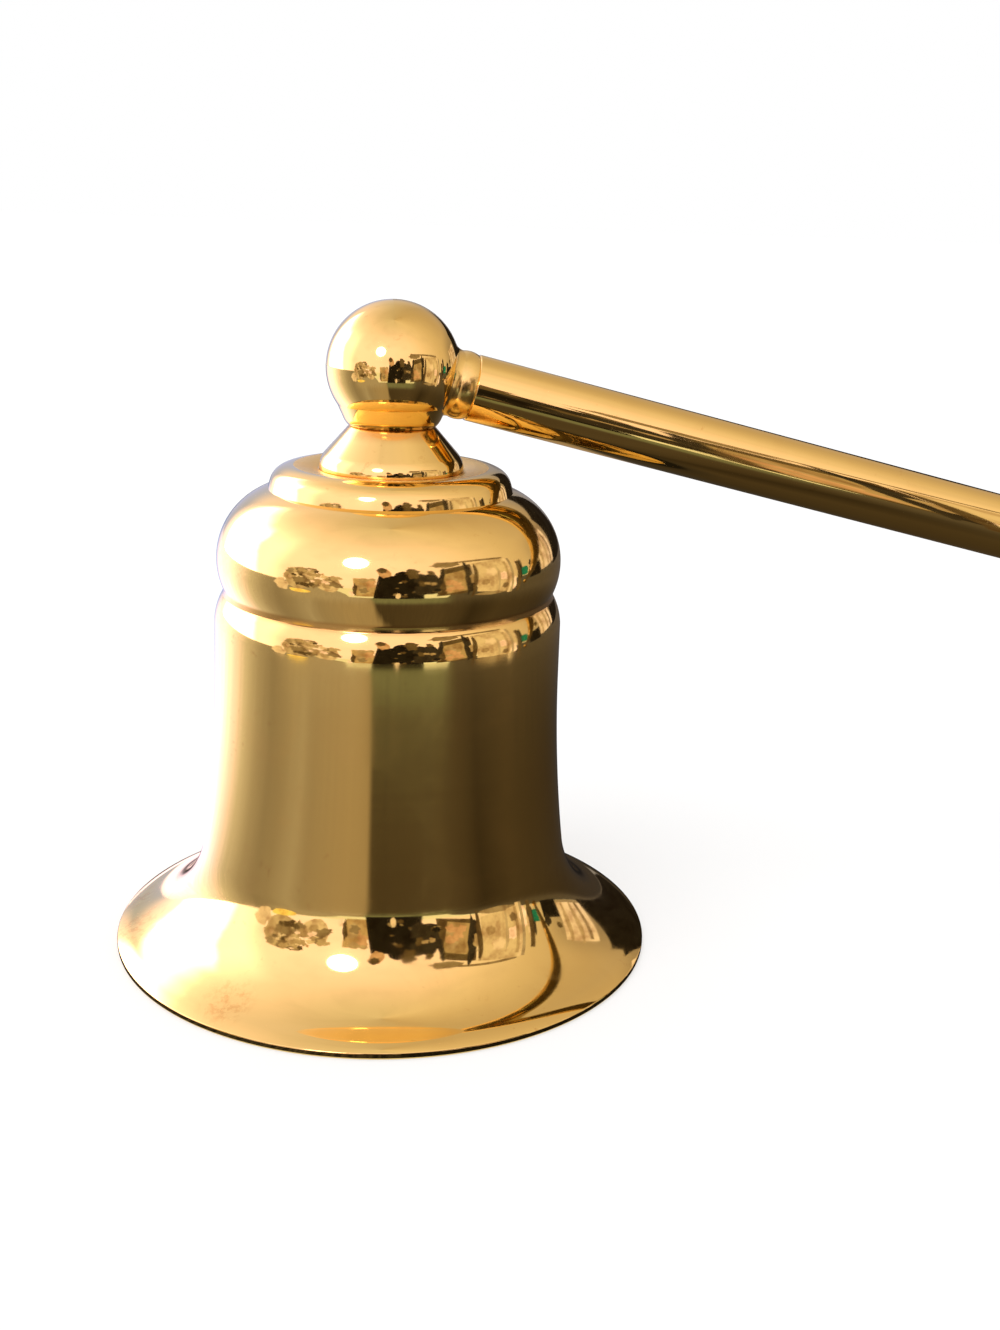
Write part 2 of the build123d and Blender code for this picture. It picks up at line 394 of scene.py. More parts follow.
def brass(name, polish, wobble, marks, satin=0.0, along_handle=False, drawn=False,
          anisotropic=0.0, recesses=(), stains=()):
    """Brass with turning marks, hairlines, smudges, stains and painted shade in its recesses.

    polish is the base roughness and satin what the marks add to it. marks is how strongly they
    show in the relief, and wobble how far, in millimetres, the polished skin strays from true. The
    marks run round the Z axis or the handle's, or along it where the metal is drawn. recesses are
    (height, half width) of rings of painted shade, and stains (x, y, z, size) of dark spots, in
    millimetres.
    """
    f = Finish(name)
    place = f.node("ShaderNodeTexCoord")["Object"]
    if along_handle:
        turned_back = {"Location": to_handle.to_translation(), "Rotation": to_handle.to_euler()}
        settings = {"vector_type": "POINT"}
        place = f.node("ShaderNodeMapping", settings, {"Vector": place, **turned_back})[0]
    x, y, z = f.split(place)
    radius = (x * x + y * y).math("SQRT")
    azimuth = y.math("ARCTAN2", x)

    if drawn:
        along = f.combine(azimuth * DRAWN_ROUND, z * DRAWN_ALONG, radius * DRAWN_ACROSS)
    else:
        along = f.combine(azimuth * TURNED_ROUND, radius * TURNED_ACROSS, z * TURNED_ACROSS)
    turning = f.noise(along, 1.0, detail=3, roughness=0.6)
    rings = f.combine(azimuth * BROAD_ROUND, radius * BROAD_ACROSS, z * BROAD_ACROSS)
    broad = f.noise(rings, 1.0)
    hairlines = 0
    for turn, scale, shows in HAIRLINES:
        stretch = {"Vector": place, "Rotation": turn, "Scale": scale}
        drawn_out = f.node("ShaderNodeMapping", None, stretch)[0]
        hairlines = f.noise(drawn_out, 1.0).above(*shows) + hairlines
    smudge = f.noise(place, SMUDGE_SCALE, detail=4, roughness=0.62, distortion=0.6)
    smudge = smudge.above(*SMUDGE_SHOWS)
    skin = f.noise(place, SWELL_SCALE, detail=1) + f.noise(place, RIPPLE_SCALE) * RIPPLE_SHARE
    flecks = f.noise(place, FLECK_SCALE, detail=3, roughness=0.7).above(*FLECK_SHOWS)
    flecks = flecks * f.noise(place, FLECK_PATCH_SCALE).above(*FLECK_PATCH_SHOWS)

    tarnish_and_shade = smudge * SMUDGE_TARNISH + flecks * FLECK_TARNISH
    # Painted shade: a ring round each recess darkens towards the patina colour, as if shade fell
    # there
    for height, half in recesses:
        off = (z - height * MM).math("ABSOLUTE")
        tarnish_and_shade = tarnish_and_shade + (1 - off.above(half * RECESS_CORE * MM, half * MM)) * RECESS_PAINTED_SHADE
    for *spot, size in stains:
        ends = {0: place, 1: tuple(v * MM for v in spot)}
        off = f.node("ShaderNodeVectorMath", {"operation": "DISTANCE"}, ends)["Value"]
        speckle = f.noise(place, STAIN_SCALE, detail=4, roughness=0.7).above(*STAIN_SHOWS)
        spotted = (1 - off.above(size * STAIN_CORE * MM, size * MM)) * speckle
        tarnish_and_shade = tarnish_and_shade + spotted * STAIN_TARNISH
    tarnish_and_shade = tarnish_and_shade.math("MINIMUM", 1.0)

    roughness = polish + satin * turning + smudge * SMUDGE_DULLS
    roughness = roughness + hairlines * HAIRLINE_DULLS + tarnish_and_shade * TARNISH_AND_SHADE_DULLS
    relief = turning * marks + broad * (marks * BROAD_RELIEF) - hairlines * HAIRLINE_RELIEF
    waviness = f.bump(skin, wobble * MM)
    return f.output(f.node("ShaderNodeBsdfPrincipled", None, {
        "Base Color": f.mix(tarnish_and_shade, BRASS, PATINA_AND_SHADE), "Metallic": 1.0, "Roughness": roughness,
        "Anisotropic": anisotropic, "Anisotropic Rotation": GRAIN_TURN,
        "Normal": f.bump(relief, RELIEF_DEPTH * MM, Normal=waviness),
    })[0])


def spring_steel():
    """Blued spring steel, plainly finished."""
    f = Finish("spring_steel")
    place = f.node("ShaderNodeTexCoord")["Object"]
    cloud = f.noise(place, STEEL_CLOUD_SCALE, detail=4, roughness=0.6)
    stretch = {"Vector": place, "Scale": STEEL_SCRATCH_SCALE}
    scratch = f.noise(f.node("ShaderNodeMapping", None, stretch)[0], 1.0)
    return f.output(f.node("ShaderNodeBsdfPrincipled", None, {
        "Base Color": f.mix(cloud.above(*STEEL_CLOUD_SHOWS), STEEL_PALE, STEEL_DARK),
        "Metallic": 1.0, "Roughness": STEEL_POLISH + cloud * STEEL_CLOUD_DULLS,
        "Normal": f.bump(scratch, STEEL_RELIEF_DEPTH * MM, strength=STEEL_RELIEF),
    })[0])


groove_middle = groove_bottom + groove_width / 2
# Half widths of the rings of painted shade: in the groove, at the ceiling, at the neck's foot and
# its top
groove_shade, ceiling_shade, foot_shade, top_shade = 0.45, 2.0, 0.25, 0.95
bell_stains = (  # three round the flare's left side and one on the dome
    (-11.5, -13.2, 1.1, 2.4), (-17.9, -1.3, 0.9, 3.2), (-18.8, 4.7, 0.5, 3.0),
    (9.6, -6.2, 31.2, 1.6),
)
polished = brass(
    "polished_brass", polish=0.045, wobble=0.0026, marks=0.6,
    recesses=((groove_middle, groove_shade),), stains=bell_stains,
)
satin = brass("satin_body", polish=0.075, wobble=0.0015, marks=1.2, satin=0.05, anisotropic=0.45)
inside = brass(
    "turned_inside", polish=0.30, wobble=0.004, marks=2.6, satin=0.12,
    recesses=((ceiling_height, ceiling_shade),),
)
neck_brass = brass(
    "polished_neck", polish=0.05, wobble=0.0020, marks=0.6,
    recesses=((crown_floor, foot_shade), (neck_top, top_shade)),
)
elbow_brass = brass("polished_elbow", polish=0.04, wobble=0.0020, marks=0.4, along_handle=True)
boss_brass = brass(
    "turned_boss", polish=0.17, wobble=0.0010, marks=1.2, satin=0.05, along_handle=True,
)
rod_brass = brass(
    "polished_rod", polish=0.04, wobble=0.0012, marks=0.35, along_handle=True, drawn=True,
)
plain = brass("turned_brass", polish=0.26, wobble=0.002, marks=2.0, satin=0.10)
steel = spring_steel()
SATIN, INSIDE = 1, 2  # places of these finishes on the bell
BOSS = 1  # place of the boss's finish on a ball


def bell():
    """The whole turned shell, from the hole in the crown down its outside and up its inside."""
    crest = crown_height - crown_crest_drop
    o = Outline(screw_hole_radius, crown_floor)
    o.line(crown_inner_radius, crown_floor)
    o.arc(crown_crest_radius, crest, steps=14, arriving=(1, 0), soften=seat_line)
    o.arc(crown_knee_radius, crown_height - crown_knee_drop, steps=14)
    o.arc(step_break_radius, step_break, steps=18)
    o.arc(step_foot_radius, step_foot, steps=14, soften=step_soft)
    o.arc_through((dome_radius, dome_widest), (groove_radius, groove_top), steps=56)
    o.line(groove_radius, groove_bottom, soften=groove_soft)
    o.arc(body_radius, band_top, steps=22, arriving=band_heading, soften=groove_soft)
    for ring in range(1, BAND_RINGS + 1):
        o.line(body_radius, band_top - band_rise * ring / BAND_RINGS)
    o.arc(body_radius + skirt_spread, flare_top, steps=28, leaving=(0, -1))
    o.arc(rim_radius - lip_round, lip_edge + lip_round_rise, steps=44)
    o.arc(rim_radius, lip_edge, steps=16)
    o.line(rim_radius, lip_bevel, soften=lip_bevel / 2)
    o.line(rest_outer_radius, 0, soften=lip_bevel / 2)
    o.line(rest_inner_radius, 0)
    o.arc(bore_radius, mouth_rise, steps=30, arriving=(0, 1), soften=lip_bevel)
    o.line(bore_radius, dome_widest)
    o.line(ceiling_radius, ceiling_height, soften=wall / 4)
    o.line(screw_hole_radius, ceiling_height, soften=wall / 4)
    o.close()
    mesh = o.turned()
    for face in mesh.faces:
        middle = face.calc_center_median()
        outwards = face.normal.x * middle.x + face.normal.y * middle.y
        within = lip_bevel < middle.z < ceiling_height + lip_bevel
        under = within and face.normal.z < FACES_DOWN
        if outwards < 0 or under:
            face.material_index = INSIDE
        elif flare_top - lip_height < middle.z < band_top:
            face.material_index = SATIN
    piece("bell_shell", mesh, (polished, satin, inside), "bell", "bell")


def neck():
    """Small cone with a rolled foot, seated in the crown by its spigot."""
    o = Outline(screw_hole_radius, neck_top)
    o.line(notch_radius - notch_bevel, neck_top)
    o.line(notch_radius, neck_top - notch_bevel, soften=notch_bevel / 3)
    o.line(neck_foot_radius, crown_height + neck_foot_rise, soften=notch_bevel / 3)
    o.arc(
        neck_foot_outer, crown_floor + seat_line, steps=20, arriving=(0, -1), soften=notch_bevel,
    )
    o.line(neck_foot_outer - seat_line, crown_floor)
    o.line(spigot_radius, crown_floor)
    o.line(spigot_radius, neck_low.z)
    o.line(screw_hole_radius, neck_low.z)
    o.close()
    piece("neck_cone", o.turned(), (neck_brass,), "bell", "neck")


def ball_and_boss(radius, centre, seam):
    """A ball that flows through a cove into a boss of the rod's size, along the Z axis."""
    towards = 1 if seam > centre else -1
    cove_along = sqrt((radius + boss_cove) ** 2 - (rod_radius + boss_cove) ** 2)
    share = radius / (radius + boss_cove)
    cove_start = centre + towards * cove_along * share
    cove_end = centre + towards * cove_along
    bulge_middle = (cove_end + seam) / 2 - towards * boss_bulge
    o = Outline(0, centre - towards * radius)
    o.arc((rod_radius + boss_cove) * share, cove_start, steps=64, leaving=(1, 0))
    o.arc(rod_radius, cove_end, steps=12)
    bulge = (rod_radius + boss_bulge, bulge_middle)
    o.arc_through(bulge, (rod_radius - seam_bevel, seam), steps=18)
    o.line(0, seam, soften=seam_bevel / 4)
    mesh = o.turned()
    for face in mesh.faces:
        if towards * (face.calc_center_median().z - cove_end) > -boss_cove / 2:
            face.material_index = BOSS
    return mesh


def ball_elbow():
    """Ball and boss on the handle's axis, over a collar whose flat base turns on the neck."""
    mesh = ball_and_boss(ball_radius, 0, elbow_seam)
    bmesh.ops.transform(mesh, matrix=handle_frame, verts=mesh.verts[:])
    cut = bmesh.ops.bisect_plane(
        mesh, geom=mesh.verts[:] + mesh.edges[:] + mesh.faces[:],
        plane_co=(0, 0, collar_base + collar_recess), plane_no=(0, 0, -1), clear_outer=True,
    )
    rim = [edge for edge in cut["geom_cut"] if isinstance(edge, bmesh.types.BMEdge)]
    bmesh.ops.holes_fill(mesh, edges=rim, sides=0)
    bmesh.ops.recalc_face_normals(mesh, faces=mesh.faces[:])
    collar_top = collar_base + collar_rise
    collar_top_radius = sqrt(ball_radius**2 - (ball_height - collar_top) ** 2)
    collar = Outline(thread_hole_radius, collar_base)
    collar.line(notch_radius, collar_base)
    collar.arc(collar_side_radius, collar_top - collar_side, steps=14, leaving=collar_heading)
    collar.line(collar_top_radius, collar_top)
    collar.line(thread_hole_radius, collar_top)
    collar.close()
    ring = collar.turned()
    joined = bpy.data.meshes.new("collar")
    ring.to_mesh(joined)
    ring.free()
    mesh.from_mesh(joined)
    bpy.data.meshes.remove(joined)
    piece(
        "ball_elbow_cast", mesh, (elbow_brass, boss_brass), "handle",
        "ball_elbow",
    )


def handle_rod():
    """Drawn rod with bevelled ends, between the ball's boss and the knob's."""
    end_radius, break_edge = rod_radius - seam_bevel, seam_bevel / 4
    o = Outline(0, elbow_seam)
    o.line(end_radius, elbow_seam)
    o.line(rod_radius, elbow_seam + seam_bevel, soften=break_edge)
    o.line(rod_radius, knob_seam - seam_bevel, soften=break_edge)
    o.line(end_radius, knob_seam, soften=break_edge)
    o.line(0, knob_seam, soften=break_edge)
    piece(
        "handle_bar", o.turned(), (rod_brass,), "handle", "handle_rod",
        handle_frame,
    )


def end_knob():
    """The ball that ends the handle."""
    mesh = ball_and_boss(knob_radius, handle_reach, knob_seam)
    piece(
        "handle_knob", mesh, (elbow_brass, boss_brass), "handle", "end_knob",
        handle_frame,
    )


bell()
neck()
ball_elbow()
handle_rod()
end_knob()
for node, finish in (("flat_washer", plain), ("swivel_screw", plain), ("spring_washer", steel)):
    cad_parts[node].data.materials.clear()
    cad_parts[node].data.materials.append(finish)


# The stage: pale floor, soft light, and cards round the table that only the polished metal sees.
# Bearings on the cards are in degrees and count from the camera's side, rises are degrees above the
# table, and reaches and heights are in millimetres from the bell's foot.
CAMERA_SIDE = -95.4
FLOOR_SIZE = 6.0
FLOOR_TONE = (0.93, 0.93, 0.93)
WHITE = (1.0, 1.0, 1.0)

TABLE_HOLE = 19.52  # just outside the rim
TABLE_LIFT = 0.04
TABLE_REACH, TABLE_SPREAD = 112, 360  # reach at the front, and what the sides add to it
TABLE_GRAIN, TABLE_FINE_GRAIN = (0.30, 0.008), (1.3, 0.02)  # per degree and per millimetre
TABLE_FRONT_TONE = (0.26, 0.29, 0.23)
EDGE_SLANT, EDGE_RAGGED, EDGE_FROM, EDGE_TO = 0.35, 5.0, 5.5, 10.5  # where beige meets brown
TABLE_WIDENS, WIDE_BEHIND, WIDE_BESIDE = 2.2, -0.1, 0.5  # how fast the sides add it, from where
# Zones of the cards. Three numbers are a zone's two ends and how softly it ends, two are where
# a fade starts and ends, and a share is how much the zone covers.
WINDOW_BEARINGS, LAMP_BEARINGS = (-166.0, -20.0, 10.0), (-66.0, -14.0, 8.0)
LAMP_REACH, FAR_REACH = (58.0, 100.0), (150.0, 250.0)
MIDDLE_REACH, MIDDLE_SHARE = (50.0, 115.0), 0.8
FRONT_BEARINGS, FRONT_REACH, FRONT_SHARE = (-16.0, 36.0, 7.0), (66.0, 86.0), 0.85
# Painted shadow on the table round the bell's foot, and its near black contact line at the rim
FOOT_SHADOW_REACH, FOOT_SHADOW_SHARE, CONTACT_SHADOW_REACH = (22.0, 27.0), 0.5, (21.0, 22.6)
VEINS_SHOW, VEIN_SHARE = (0.25, 0.8), 0.30

SKY_RADIUS = 500
CLOUD_SCALE = (0.03, 0.05)
CLOUD_SHOWS, CLOUD_SHARE = (0.45, 0.75), 0.14
RAGGED = 10.0  # how far the panes' edges wander, in degrees
SASH_TONE = (0.50, 0.58, 0.95)
CEILING_RISE = (32.0, 88.0)
SHADED_BEARINGS, SHADED_RISE, SHADED_SHARE = (110.0, 165.0, 14.0), (16.0, 34.0), 0.6
BACK_BEARINGS, BACK_RISE, BACK_SHARE = (150.0, 164.0), (8.0, 36.0), 0.85
SASH_BEARINGS, SASH_RISE, SASH_SHARE = (-156.0, -148.0), (14.0, 30.0), 0.9
PANE_BEARINGS, PANE_RISE, PANE_SLANT = (-134.0, -90.0, 3.5), (38.0, 50.0), 0.3
HALO_BEARINGS, HALO_RISE, HALO_SHARE = (-146.0, -78.0, 9.0), (30.0, 56.0), 0.6
GLARE_BEARINGS, GLARE_RISE, GLARE_SHARE = (-30.0, -18.0, 9.0), (24.0, 42.0, 9.0), 0.4

LAMP_BEARING, LAMP_RISE = -24, 33
LAMP_DISTANCE, LAMP_RADIUS, LAMP_AIM_HEIGHT = 230, 31, 24

SHELF_REACH, SIDE_REACH = 118, 225
LAYER = 0.15  # each shape stands this much nearer than the one before it
OUTLINE_CORNERS = 16
OUTLINE_STRAY = 0.7  # how far a fully ragged outline strays, as a share of its size
MOTTLE_SCALE, MOTTLE_SHOWS = (0.16, 0.05), (0.35, 0.75)
HEAP_RAGGED, HEAP_HEIGHTS = 0.5, (1.2, 2.6)  # heights are millimetres per degree of width
chance = Random(5)


def stage_object(name, mesh, material, seen=False):
    """An object of the stage. Only the metal sees it, unless it is to be seen."""
    made = linked(name, mesh, (material,))
    made.visible_camera = seen
    made.visible_shadow = seen
    made.visible_diffuse = seen
    made.visible_transmission = seen


class Card(Finish):
    """A glowing finish for what stands round the table, read by bearing, reach, height and rise."""

    def __init__(self, name):
        super().__init__(name)
        self.material.cycles.emission_sampling = "NONE"
        self.x, self.y, height = self.split(self.node("ShaderNodeTexCoord")["Object"])
        self.height = height / MM
        self.reach = (self.x * self.x + self.y * self.y).math("SQRT") / MM
        turn = self.y.math("ARCTAN2", self.x) * (180 / pi) - CAMERA_SIDE
        self.bearing = turn.math("WRAP", 180.0, -180.0)
        self.rise = self.height.math("ARCTAN2", self.reach) * (180 / pi)

    def by_bearing(self, stops):
        """Colour that goes round the table from stop to stop, each a bearing and a colour."""
        placed = tuple(((bearing + 180) / 360, colour) for bearing, colour in stops)
        share = (self.bearing + 180.0) / 360.0
        return self.node("ShaderNodeValToRGB", {"stops": placed}, {0: share})[0]

    def cloud(self, across, scale, seed, detail=3, roughness=0.5):
        """Noise over the bearing and one other measure."""
        place = self.combine(self.bearing * scale[0], across * scale[1], seed)
        return self.noise(place, 1.0, detail=detail, roughness=roughness)

    def between(self, value, low, high, soft):
        """1 between low and high, falling to 0 over soft on either side."""
        return value.above(low - soft, low + soft) * (1 - value.above(high - soft, high + soft))

    def glow(self, colour):
        light = self.node("ShaderNodeEmission", None, {"Color": colour, "Strength": 1.0})[0]
        return self.output(light)


GREY_TINT = (1.01, 0.905, 0.94)
BLEACH_FROM, BLEACH_OVER, BLEACH_SHIFT = 0.9, 0.5, 0.10  # levels, and the shift from green to blue
WARMTH_IN_BLUE = 1.6  # how much more of the blue is lost to warmth than is added to the red


def grey(level, warmth=0.0):
    """A tone of the given level, warmer or cooler than grey, and paler where it is very bright."""
    bleached = max(0, min(1, (level - BLEACH_FROM) / BLEACH_OVER))
    red, green, blue = GREY_TINT
    green, blue = green - BLEACH_SHIFT * bleached, blue + BLEACH_SHIFT * bleached
    return level * red * (1 + warmth), level * green, level * blue * (1 - WARMTH_IN_BLUE * warmth)


BLACK, SOOT, UMBER, OLIVE = grey(0.02, 0.1), grey(0.05, 0.1), grey(0.13, 0.25), grey(0.33, 0.16)
TAN, CREAM, PALE, SLATE = grey(0.60, 0.14), grey(1.05, 0.05), grey(1.5), grey(0.28, -0.1)
CLAY, STRAW, PANEL, TEAL = (0.86, 0.55, 0.44), (1.5, 1.2, 0.5), grey(0.88, 0.08), (0.02, 0.28, 0.26)


def floor():
    """Floor that looks plain white and still keeps the object's shadow."""
    f = Finish("pale_floor")
    way = f.node("ShaderNodeLightPath")
    seen = way["Is Camera Ray"] + way["Is Glossy Ray"] + way["Is Transmission Ray"]
    lit = f.node("ShaderNodeBsdfDiffuse", None, {"Color": FLOOR_TONE})[0]
    glow = f.node("ShaderNodeEmission", None, {"Color": WHITE, "Strength": 1.0})[0]
    finish = f.output(f.node("ShaderNodeMixShader", None, {0: seen * 0.5, 1: lit, 2: glow})[0])
    mesh = bmesh.new()
    bmesh.ops.create_grid(mesh, x_segments=1, y_segments=1, size=FLOOR_SIZE)
    stage_object("floor", mesh, finish, seen=True)


def table_card():
    """Tabletop in the metal: bright by the window, beige left, dark brown right, painted shadow at
    the rim.
    """
    f = Card("table_reflection")
    grain = f.cloud(f.reach, TABLE_GRAIN, seed=0.0)
    fine = f.cloud(f.reach, TABLE_FINE_GRAIN, seed=5.0, detail=2)
    left = f.by_bearing((
        (-180, (0.20, 0.24, 0.45)), (-162, (0.45, 0.6, 1.1)), (-146, grey(2.2)),
        (-128, grey(2.9)), (-112, grey(1.7, -0.05)), (-99, grey(0.86, -0.04)), (-86, grey(0.48)),
        (-74, grey(0.32, 0.03)), (-64, grey(0.35, 0.04)), (-52, grey(0.48)),
        (-44, grey(0.36, 0.06)), (-24, grey(0.40, 0.12)), (10, grey(0.36, 0.14)),
    ))
    right = f.by_bearing((
        (-60, grey(0.060, 0.2)), (0, grey(0.068, 0.2)), (30, grey(0.085, 0.18)),
        (46, grey(0.062, 0.2)), (54, grey(0.036, 0.22)), (74, grey(0.066, 0.2)),
        (120, grey(0.046, 0.2)), (150, grey(0.05)), (172, grey(0.16, -0.1)),
    ))
    edge = ((f.x - f.y * EDGE_SLANT) / MM + grain * EDGE_RAGGED).above(EDGE_FROM, EDGE_TO)
    front = f.between(f.bearing, *FRONT_BEARINGS)
    right = f.mix(f.reach.above(*MIDDLE_REACH) * MIDDLE_SHARE, right, grey(0.135, 0.05))
    right = f.mix(f.reach.above(*FRONT_REACH) * front * FRONT_SHARE, right, TABLE_FRONT_TONE)
    lit = f.between(f.bearing, *LAMP_BEARINGS) * f.reach.above(*LAMP_REACH)
    left = f.mix(lit, left, grey(0.48, 0.03))
    tone = f.mix(edge, left, right)
    unlit = 1 - f.between(f.bearing, *WINDOW_BEARINGS)
    tone = f.mix(f.reach.above(*FAR_REACH) * unlit, tone, grey(0.13))
    # Painted shadow: the table darkens round the bell's foot and goes near black at the rim
    tone = f.mix((1 - f.reach.above(*FOOT_SHADOW_REACH)) * FOOT_SHADOW_SHARE, tone, grey(0.03))
    tone = f.mix(1 - f.reach.above(*CONTACT_SHADOW_REACH), tone, grey(0.010))
    veins = f.mix(edge, grey(0.24, 0.08), grey(0.03, 0.1))
    tone = f.mix(fine.above(*VEINS_SHOW) * VEIN_SHARE, tone, veins)
    mesh = bmesh.new()
    bmesh.ops.create_circle(mesh, cap_ends=False, segments=120, radius=TABLE_HOLE * MM)
    made = bmesh.ops.extrude_edge_only(mesh, edges=mesh.edges[:])
    for v in (v for v in made["geom"] if isinstance(v, bmesh.types.BMVert)):
        way = v.co.normalized()
        beyond = max(way.y - WIDE_BEHIND, abs(way.x) - WIDE_BESIDE)
        sideways = max(0, min(1, TABLE_WIDENS * beyond))
        v.co = way * (TABLE_REACH + TABLE_SPREAD * sideways) * MM
    bmesh.ops.translate(mesh, vec=(0, 0, TABLE_LIFT * MM), verts=mesh.verts[:])
    stage_object("table_card", mesh, f.glow(tone))


def sky_card():
    """Walls and ceiling: a window to the left, cream overhead, tan to the right, darker behind."""
    f = Card("sky_reflection")
    cloud = f.cloud(f.rise, CLOUD_SCALE, seed=2.0)
    wall = f.by_bearing((
        (-180, grey(0.75, -0.03)), (-158, grey(1.15, -0.02)), (-100, grey(1.7)),
        (-60, grey(1.55)), (-25, grey(1.5)), (0, grey(1.45, 0.01)), (30, grey(1.32, 0.03)),
        (60, grey(1.02, 0.06)), (90, grey(0.76, 0.10)), (130, grey(0.56, 0.13)),
        (160, grey(0.52, 0.1)), (180, grey(0.75)),
    ))
    ceiling = f.by_bearing((
        (-180, grey(0.66, 0.05)), (-60, grey(0.88, 0.02)), (0, grey(0.86, 0.03)),
        (60, grey(0.90, 0.06)), (100, grey(0.74, 0.10)), (140, grey(0.62, 0.11)),
        (180, grey(0.66, 0.05)),
    ))
    tone = f.mix(f.rise.above(*CEILING_RISE), wall, ceiling)
    shaded = f.between(f.bearing, *SHADED_BEARINGS) * (1 - f.rise.above(*SHADED_RISE))
    tone = f.mix(shaded * SHADED_SHARE, tone, grey(0.20, 0.10))
    back = f.bearing.above(*BACK_BEARINGS) * (1 - f.rise.above(*BACK_RISE))
    tone = f.mix(back * BACK_SHARE, tone, grey(0.30, -0.16))
    tone = f.mix(cloud.above(*CLOUD_SHOWS) * CLOUD_SHARE, tone, grey(0.5, 0.08))
    ragged = cloud * RAGGED
    sash = (1 - f.bearing.above(*SASH_BEARINGS)) * (1 - f.rise.above(*SASH_RISE))
    tone = f.mix(sash * SASH_SHARE, tone, SASH_TONE)
    aslant = f.bearing + ragged + f.rise * PANE_SLANT
    low_enough = 1 - (f.rise + ragged).above(*PANE_RISE)
    panes = f.between(aslant, *PANE_BEARINGS) * low_enough
    halo = f.between(f.bearing, *HALO_BEARINGS) * (1 - f.rise.above(*HALO_RISE))
    tone = f.mix(halo * HALO_SHARE, tone, grey(3.0))
    tone = f.mix(panes, tone, grey(6.0))
    glare = f.between(f.bearing, *GLARE_BEARINGS) * f.between(f.rise, *GLARE_RISE)
    tone = f.mix(glare * GLARE_SHARE, tone, grey(2.4))
    mesh = bmesh.new()
    bmesh.ops.create_icosphere(mesh, subdivisions=4, radius=SKY_RADIUS * MM)
    stage_object("sky_card", mesh, f.glow(tone))


def lamp_card():
    """Round lamp over the front left of the table."""
    aim = Matrix.Rotation(radians(CAMERA_SIDE + LAMP_BEARING), 4, "Z")
    aim = Matrix.Translation((0, 0, LAMP_AIM_HEIGHT * MM)) @ aim
    aim = aim @ Matrix.Rotation(radians(-LAMP_RISE), 4, "Y")
    hung = Matrix.Translation((LAMP_DISTANCE * MM, 0, 0)) @ Matrix.Rotation(pi / 2, 4, "Y")
    mesh = bmesh.new()
    bmesh.ops.create_circle(mesh, cap_ends=True, segments=48, radius=LAMP_RADIUS * MM)
    bmesh.ops.transform(mesh, matrix=aim @ hung, verts=mesh.verts[:])
    stage_object("lamp_card", mesh, Card("lamp_glow").glow(grey(9.0, 0.02)))


def still_life(name, reach, things):
    """Plain shapes round the table's edge: bearing, width, foot, top and tone of each.

    A shape whose foot hangs above its top is round. A sixth number says how ragged its outline is,
    a seventh how far it leans and an eighth how far it climbs from its left end to its right one.
    """
    f = Card(name)
    painted = f.node("ShaderNodeAttribute", {"attribute_name": "tone"})["Color"]
    mottle = f.cloud(f.height, MOTTLE_SCALE, seed=0.0, roughness=0.6)
    settings = {"data_type": "RGBA", "blend_type": "MULTIPLY"}
    deeper = f.node("ShaderNodeMix", settings, {0: 1.0, 6: painted, 7: grey(0.5, 0.1)})[2]
    blotch = f.mix(mottle.above(*MOTTLE_SHOWS), painted, deeper)
    mesh = bmesh.new()
    layer = mesh.loops.layers.float_color.new("tone")
    for depth, (bearing, width, foot, top, tone, *rest) in enumerate(things):
        ragged, lean, climb = (*rest, 0, 0, 0)[:3]
        around = radians(bearing + CAMERA_SIDE)
        out = (reach - depth * LAYER) * MM
        if foot > top or ragged:
            made = bmesh.ops.create_circle(
                mesh, cap_ends=True, segments=OUTLINE_CORNERS, radius=0.5,
            )["verts"]
            for v in made:
                v.co *= 1 + ragged * chance.uniform(-OUTLINE_STRAY, OUTLINE_STRAY)
        else:
            made = bmesh.ops.create_grid(mesh, x_segments=1, y_segments=1, size=0.5)["verts"]
        across = out * radians(width)
        size = Matrix.Diagonal((across, abs(top - foot) * MM, 1, 1))
        skew = Matrix.Identity(4)
        skew[0][1], skew[1][0] = lean, climb * MM / across
        stand = Matrix.Rotation(around + pi / 2, 4, "Z") @ Matrix.Rotation(pi / 2, 4, "X")
        middle = (cos(around) * out, sin(around) * out, (foot + top) / 2 * MM)
        place = Matrix.Translation(middle) @ stand @ skew @ size
        bmesh.ops.transform(mesh, matrix=place, verts=made)
        for face in {face for v in made for face in v.link_faces}:
            for loop in face.loops:
                loop[layer] = (*tone, 1)
    stage_object(name, mesh, f.glow(blotch))


def heap(count, bearings, heights, widths, tones):
    """A heap of small ragged shapes within the bearings and heights given."""
    for _ in range(count):
        width = chance.uniform(*widths)
        middle = chance.uniform(*heights)
        half = width * chance.uniform(*HEAP_HEIGHTS) / 2
        bearing, tone = chance.uniform(*bearings), chance.choice(tones)
        yield bearing, width, middle - half, middle + half, tone, HEAP_RAGGED


